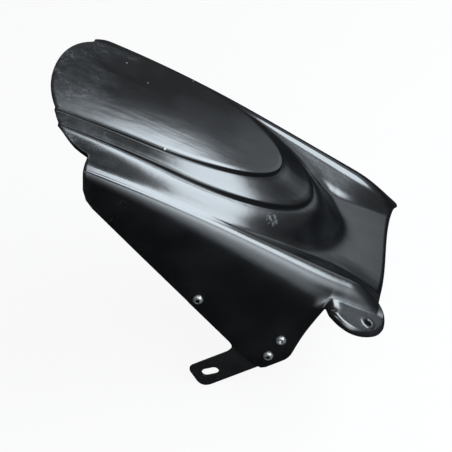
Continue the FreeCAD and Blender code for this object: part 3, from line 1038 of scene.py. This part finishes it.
# %% [markdown]
# ## Materials
# A finish is built from masks: where dust lies, where an edge is scraped, where a chip
# is bare. Nodes could be wired one by one, but their sums and products are easier to
# read as arithmetic. This little class wraps a socket, so that an expression such as
# 1 - mask adds the nodes by itself.

# %% Sockets as numbers
class Shade:
    """A shader socket with arithmetic: every operation adds one math node."""

    def __init__(self, tree, socket=None):
        self.tree = tree
        self.socket = socket

    def node(self, kind, settings, inputs, output=0):
        """Add a node: settings by name first, then inputs by name or number."""
        made = self.tree.nodes.new(kind)
        for name, value in settings.items():
            setattr(made, name, value)
        for name, value in inputs.items():
            feed(made, name, value)
        return Shade(self.tree, made.outputs[output])

    def math(self, operation, *values):
        return self.node("ShaderNodeMath", {"operation": operation}, dict(enumerate(values)))

    def __add__(self, other):
        return self.math("ADD", self, other)

    def __sub__(self, other):
        return self.math("SUBTRACT", self, other)

    def __mul__(self, other):
        return self.math("MULTIPLY", self, other)

    def __rsub__(self, other):
        return self.math("SUBTRACT", other, self)

    __radd__ = __add__
    __rmul__ = __mul__

    def between(self, low, high):
        """Smooth step that is 0 at low and 1 at high."""
        return self.node("ShaderNodeMapRange", {"interpolation_type": "SMOOTHSTEP"},
                         {"Value": self, "From Min": low, "From Max": high})

    def crossing(self, value, width):
        """1 where the shade crosses a value, falling to 0 within a width on both sides."""
        return 1.0 - self.math("ABSOLUTE", self - value).between(0.0, width)

    def noise(self, scale, detail=3.0):
        return self.node("ShaderNodeTexNoise", {}, {"Vector": self, "Scale": scale, "Detail": detail})

    def stretched(self, x, y, z, detail):
        """Noise with its own scale along each axis."""
        scaled = self.node("ShaderNodeVectorMath", {"operation": "MULTIPLY"}, {0: self, 1: (x, y, z)})
        return scaled.noise(1.0, detail)

    def near(self, point, inner, outer):
        """1 within an inner distance of a point, falling to 0 at an outer one."""
        distance = self.node("ShaderNodeVectorMath", {"operation": "DISTANCE"},
                             {0: self, 1: point}, "Value")
        return 1.0 - distance.between(inner, outer)

    def part(self, axis):
        return self.node("ShaderNodeSeparateXYZ", {}, {0: self}, axis)

    def blend(self, first, second):
        """Colour mix with this value as the factor."""
        return self.node("ShaderNodeMix", {"data_type": "RGBA"}, {0: self, 6: first, 7: second}, 2)


def feed(node, name, value):
    """Link a shade to a socket of a node, or set a plain value there."""
    if isinstance(value, Shade):
        value.tree.links.new(value.socket, node.inputs[name])
    else:
        node.inputs[name].default_value = value


def new_material(name):
    """Material with a principled shader; returns it, the shader and object coordinates."""
    material = bpy.data.materials.new(name)
    material.use_nodes = True
    tree = material.node_tree
    return material, tree.nodes["Principled BSDF"], Shade(tree).node("ShaderNodeTexCoord", {}, {}, "Object")


print("shade class ready")

# %% [markdown]
# ## Gloss plastic
# Plastic that has lived on a motorcycle is not one flat black. It has a dusty film,
# scuffs and hair scratches towards the tail, scraped corners and a few bare specks. A
# painted texture could show these, but noise on panel coordinates needs no picture and
# stays sharp. The places of the larger marks are listed in panel millimetres.

# %% Masks of wear
# A speck is its place and its width.
SPECKS = [(68.0, -68.1, 22.5, 2.4), (239.9, -16.1, 10.3, 2.0), (254.0, 70.1, -9.2, 1.2),
          (88.1, 63.7, 25.4, 1.2), (15.2, 44.5, 19.5, 1.1), (39.3, 21.9, 24.2, 1.1),
          (298.7, -108.6, -6.9, 1.0), (332.7, -108.5, -12.2, 0.9)]
FLAKED = (0.2009, -0.0699, 0.0066)
EAR_MIDDLE = (0.320, -0.120, -0.013)
SCRAPED = [(0.0528, -0.1202, -0.0207), (0.0503, -0.1220, -0.0398), (0.2583, -0.1099, -0.0059)]
MARK_INNER = 0.003
MARK_OUTER = 0.009

plastic, shader, place = new_material("gloss_plastic")
panel = place.node("ShaderNodeMapping", {"vector_type": "TEXTURE"},
                   {"Vector": place, "Location": tuple(PANEL_ORIGIN), "Rotation": (0.0, PITCH, 0.0)})
cloud = panel.noise(22.0, 4.0)
grain = panel.noise(900.0, 2.0)
streak = panel.stretched(30.0, 900.0, 30.0, 2.0)
mottle = panel.stretched(110.0, 170.0, 130.0, 6.0).between(0.38, 0.66)
ragged_x = panel.part(0) + panel.stretched(16.0, 34.0, 20.0, 6.0) * 0.20
worn = 1.0 - ragged_x.between(0.075, 0.125)
hairs = panel.noise(85.0, 4.0).crossing(0.5, 0.02) + panel.noise(52.0, 5.0).crossing(0.46, 0.015)
hairs = hairs * panel.noise(38.0, 3.0).between(0.46, 0.62) * worn
matt = panel.near(EAR_MIDDLE, 0.018, 0.036)
flakes = panel.near(FLAKED, MARK_INNER, MARK_OUTER) * panel.noise(420.0, 4.0).between(0.50, 0.56)
scrapes = panel.stretched(700.0, 120.0, 120.0, 3.0).between(0.62, 0.68)
scrapes = scrapes * sum(panel.near(spot, MARK_INNER, MARK_OUTER) for spot in SCRAPED)
chips = 0.0
for x, y, z, width in (MILLIMETRE * np.array(SPECKS)).tolist():
    chips = panel.near((x, y, z), width / 3.0, width / 1.5) + chips
print(len(SPECKS), "specks and", len(SCRAPED), "scraped corners")

# %% Colour, gloss and ripple of the plastic
PLASTIC_BLACK = (0.0026, 0.0029, 0.0034, 1.0)
DUST_GREY = (0.42, 0.44, 0.46, 1.0)
BARE_CHIP = (0.72, 0.71, 0.68, 1.0)
RIPPLE_HEIGHT = 0.00016

dust = cloud.between(0.40, 0.75) * 0.015 + worn * (grain * 0.03 + mottle * 0.02 + 0.01) + hairs * 0.15
dust = dust + scrapes * 0.06 + matt * grain * 0.02
rough = cloud * 0.05 + streak * 0.06 + worn * (mottle * 0.04 + 0.04) + hairs * 0.10 + 0.13
rough = rough + flakes * 0.4 + scrapes * 0.25 + chips * 0.3 + matt * 0.06
ripple = panel.stretched(22.0, 110.0, 60.0, 4.0) + cloud * 2.0
bump = {"Height": ripple, "Distance": RIPPLE_HEIGHT, "Strength": 1.0}
feed(shader, "Base Color", chips.blend(dust.blend(PLASTIC_BLACK, DUST_GREY), BARE_CHIP))
feed(shader, "Roughness", rough)
feed(shader, "Normal", ripple.node("ShaderNodeBump", {}, bump))
feed(shader, "IOR", 1.6)
feed(shader, "Specular IOR Level", 0.9)
shell.data.materials.append(plastic)
print(plastic.name, "has", len(plastic.node_tree.nodes), "nodes")

# %% [markdown]
# ## Paint and steel
# The bracket has a thin satin paint with small chips, and the fasteners are bare steel
# with fine turning lines. Both are small in view, so a cloud, a grain and one mask are
# enough; they read object coordinates as they are.

# %% Paint of the bracket and steel of the fasteners
PAINT_BLACK = (0.006, 0.006, 0.0065, 1.0)
PAINT_CHIP = (0.30, 0.28, 0.26, 1.0)
STEEL_LIGHT = (0.84, 0.83, 0.81, 1.0)
STEEL_DARK = (0.68, 0.67, 0.65, 1.0)

paint, shader, place = new_material("satin_paint")
cloud = place.noise(60.0, 4.0)
grain = place.noise(1500.0, 2.0)
chips = place.noise(240.0, 5.0).between(0.70, 0.74)
feed(shader, "Base Color", (chips * 0.4 + cloud * 0.04).blend(PAINT_BLACK, PAINT_CHIP))
feed(shader, "Roughness", cloud * 0.2 + grain * 0.1 + 0.28)

steel, shader, place = new_material("stainless_steel")
cloud = place.noise(180.0, 4.0)
turning_lines = place.stretched(300.0, 3000.0, 3000.0, 2.0)
feed(shader, "Base Color", cloud.blend(STEEL_LIGHT, STEEL_DARK))
feed(shader, "Metallic", 0.85)
feed(shader, "Roughness", cloud * 0.12 + turning_lines * 0.10 + 0.24)

bracket.data.materials.append(paint)
for piece in fasteners:
    piece.data.materials.append(steel)
print("materials:", [m.name for m in bpy.data.materials])

# %% [markdown]
# ## Floor and world
# The photo shows the part cut out on white. A floor lit to white would need so much
# light that the black plastic turned grey. So the floor and the world show plain white
# to the camera and stay dim as lights; the floor keeps a trace of the part's shadow.

# %% Floor
FLOOR_GAP = 0.001
FLOOR_REACH = 4.0
FLOOR_WHITE = 0.92
FLOOR_TONES = ((0.80, 0.80, 0.80, 1.0), (0.83, 0.83, 0.83, 1.0))
WHITE = (1.0, 1.0, 1.0, 1.0)
MATT = 0.9


def is_ray(tree, kind):
    """1 for rays of one kind, such as those that leave the camera, and 0 for all others."""
    return Shade(tree).node("ShaderNodeLightPath", {}, {}, kind)


low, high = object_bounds()
middle = 0.5 * (np.array(low) + np.array(high))
FLOOR_Z = low[2] - FLOOR_GAP
square = FLOOR_REACH * np.array([(-1.0, -1.0), (1.0, -1.0), (1.0, 1.0), (-1.0, 1.0)])
floor_mesh = bpy.data.meshes.new("floor")
floor_mesh.from_pydata([(x, y, FLOOR_Z) for x, y in square], [], [(0, 1, 2, 3)])
floor = add_object("floor", floor_mesh)
pale, shader, place = new_material("pale_floor")
feed(shader, "Base Color", place.noise(3.0).blend(*FLOOR_TONES))
feed(shader, "Roughness", MATT)
tree = pale.node_tree
seen = is_ray(tree, "Is Camera Ray")
for kind in ("Is Glossy Ray", "Is Transmission Ray"):
    seen = seen.math("MAXIMUM", seen, is_ray(tree, kind))
white = seen.node("ShaderNodeEmission", {}, {"Color": WHITE})
surface = seen.node("ShaderNodeMixShader", {},
                    {0: seen * FLOOR_WHITE, 1: Shade(tree, shader.outputs[0]), 2: white})
feed(tree.nodes["Material Output"], "Surface", surface)
floor_mesh.materials.append(pale)
print("floor at", round(FLOOR_Z, 4), "under a part with its middle at", middle.round(3))

# %% World
WORLD_DIM = (0.04, 0.042, 0.046, 1.0)
WORLD_IN_GLOSS = 0.055

world = bpy.data.worlds.new("studio")
world.use_nodes = True
bpy.context.scene.world = world
tree = world.node_tree
shown = is_ray(tree, "Is Camera Ray")
shown = shown.math("MAXIMUM", shown, is_ray(tree, "Is Transmission Ray"))
shown = shown.math("MAXIMUM", shown, is_ray(tree, "Is Glossy Ray") * WORLD_IN_GLOSS)
feed(tree.nodes["Background"], "Color", shown.blend(WORLD_DIM, WHITE))
print("world:", world.name)

# %% [markdown]
# ## Lamps
# Gloss black shows little but reflections, so the lamps are placed for the highlights:
# a window-like one over the front for the long light on the deck and the rails, three
# wide ones on the near side for the roll, the ear and the skirt, and a small one beyond
# the front for the end of the deck. A plain area lamp would show a hard edge in the
# gloss, so each one fades out towards its sides.

# %% Soft lamps
LAMP_COLOUR = (0.83, 0.925, 1.0)
BLACK = (0.0, 0.0, 0.0, 1.0)
# A lamp is its azimuth from +X, elevation, distance, size, radiance and fading share.
LAMPS = {"window": (20.0, 44.0, 1.3, (1.65, 0.72), 7.5, 0.16),
         "front_fill": (-42.0, 30.0, 1.3, (1.7, 1.2), 4.8, 0.5),
         "front_low": (-66.0, 13.0, 1.0, (0.9, 1.15), 1.8, 0.5),
         "front_high": (-95.0, 58.0, 1.4, (1.2, 0.9), 2.5, 0.4)}
DECK_POINT = np.array([335.0, -10.0, -13.0])
DECK_LAMP_WAY = np.array([0.47, 0.71, 0.30])
DECK_LAMP = ((0.55, 0.45), 0.8, 0.5)


def set_axes(thing, right, up, back, place):
    """Turn and move an object so that its axes lie along three unit vectors."""
    thing.matrix_world = Matrix(np.vstack([np.column_stack([right, up, back, place]), (0, 0, 0, 1)]))


def soft_lamp(name, place, target, size, radiance, fade):
    """Area lamp that faces a target; it fades to nothing over a share of each side."""
    lamp = bpy.data.lights.new(name, "AREA")
    lamp.shape = "RECTANGLE"
    lamp.size, lamp.size_y = size
    lamp.energy = radiance * math.pi * size[0] * size[1]
    lamp.color = LAMP_COLOUR
    lamp.use_nodes = True
    tree = lamp.node_tree
    spot = Shade(tree).node("ShaderNodeNewGeometry", {}, {}, "Parametric")
    strength = 1.0
    for axis in (0, 1):
        share = spot.part(axis)
        strength = share.between(0.0, fade) * (1.0 - share.between(1.0 - fade, 1.0)) * strength
    feed(tree.nodes["Emission"], "Color", strength.blend(BLACK, WHITE))
    thing = add_object(name, lamp)
    back = (place - target) / np.linalg.norm(place - target)
    right = np.cross((0.0, 0.0, 1.0), back)
    right /= np.linalg.norm(right)
    set_axes(thing, right, np.cross(back, right), back, place)


for name, (azimuth, elevation, distance, size, radiance, fade) in LAMPS.items():
    a, e = math.radians(azimuth), math.radians(elevation)
    way = np.array([math.cos(a) * math.cos(e), math.sin(a) * math.cos(e), math.sin(e)])
    soft_lamp(name, middle + way * distance, middle, size, radiance, fade)
deck_aim = to_frame(DECK_POINT)
soft_lamp("deck_fill", deck_aim + DECK_LAMP_WAY, deck_aim, *DECK_LAMP)
print("lamps:", [thing.name for thing in bpy.data.lights])

# %% [markdown]
# ## Dark tray
# A photographer puts black cloth round a glossy thing so that its sides stay dark. Here
# a shallow black tray stands on the floor round the part. Only reflections see it: the
# camera and the lamps look straight through.

# %% Black tray for the reflections
TRAY_RADIUS = 1.1
TRAY_HEIGHT = 0.30
TRAY_LIFT = 0.0005
TRAY_POINTS = 96
CLOTH_TONES = ((0.004, 0.004, 0.004, 1.0), (0.012, 0.012, 0.012, 1.0))

turns = np.linspace(0.0, 2.0 * np.pi, TRAY_POINTS, endpoint=False)
circle = middle[:2] + TRAY_RADIUS * np.stack([np.cos(turns), np.sin(turns)], axis=1)
bottom = np.column_stack([circle, np.full(TRAY_POINTS, FLOOR_Z + TRAY_LIFT)])
tray_points = np.stack([bottom, bottom + (0.0, 0.0, TRAY_HEIGHT)])
walls = bands(tray_points.shape, 0).tolist()
tray_mesh = bpy.data.meshes.new("dark_tray")
tray_mesh.from_pydata(tray_points.reshape(-1, 3), [], walls + [list(range(TRAY_POINTS))])
tray = add_object("dark_tray", tray_mesh)
cloth, shader, place = new_material("black_cloth")
feed(shader, "Base Color", place.noise(40.0).blend(*CLOTH_TONES))
feed(shader, "Roughness", MATT)
tray_mesh.materials.append(cloth)
tray.visible_camera = False
tray.visible_diffuse = False
tray.visible_shadow = False
print("tray of", len(tray_mesh.polygons), "faces")

# %% [markdown]
# ## Camera
# The photo was taken from the right, looking down at about 38 degrees. A long lens
# keeps the two rails nearly parallel, as they are in the picture. A lens shift could
# centre the part, but here the whole camera is moved to the right and down instead, so
# that it also works when the part is looked at from other sides.

# %% Camera
AZIMUTH = math.radians(3.0)
ELEVATION = math.radians(38.0)
DISTANCE = 2.0
AIM_RIGHT = 0.1258
AIM_UP = -0.1317
SENSOR = 36.0
VIEW_WIDTH = 0.452

right = np.array([math.cos(AZIMUTH), math.sin(AZIMUTH), 0.0])
back = np.array([math.sin(AZIMUTH) * math.cos(ELEVATION), -math.cos(AZIMUTH) * math.cos(ELEVATION),
                 math.sin(ELEVATION)])
up = np.cross(back, right)
eye = PANEL_ORIGIN + back * DISTANCE + right * AIM_RIGHT + up * AIM_UP
camera_data = bpy.data.cameras.new("camera")
camera_data.lens = SENSOR * DISTANCE / VIEW_WIDTH
camera = add_object("camera", camera_data)
set_axes(camera, right, up, back, eye)
bpy.context.scene.camera = camera
bpy.context.scene.view_settings.view_transform = "Standard"
print("camera at", eye.round(3))
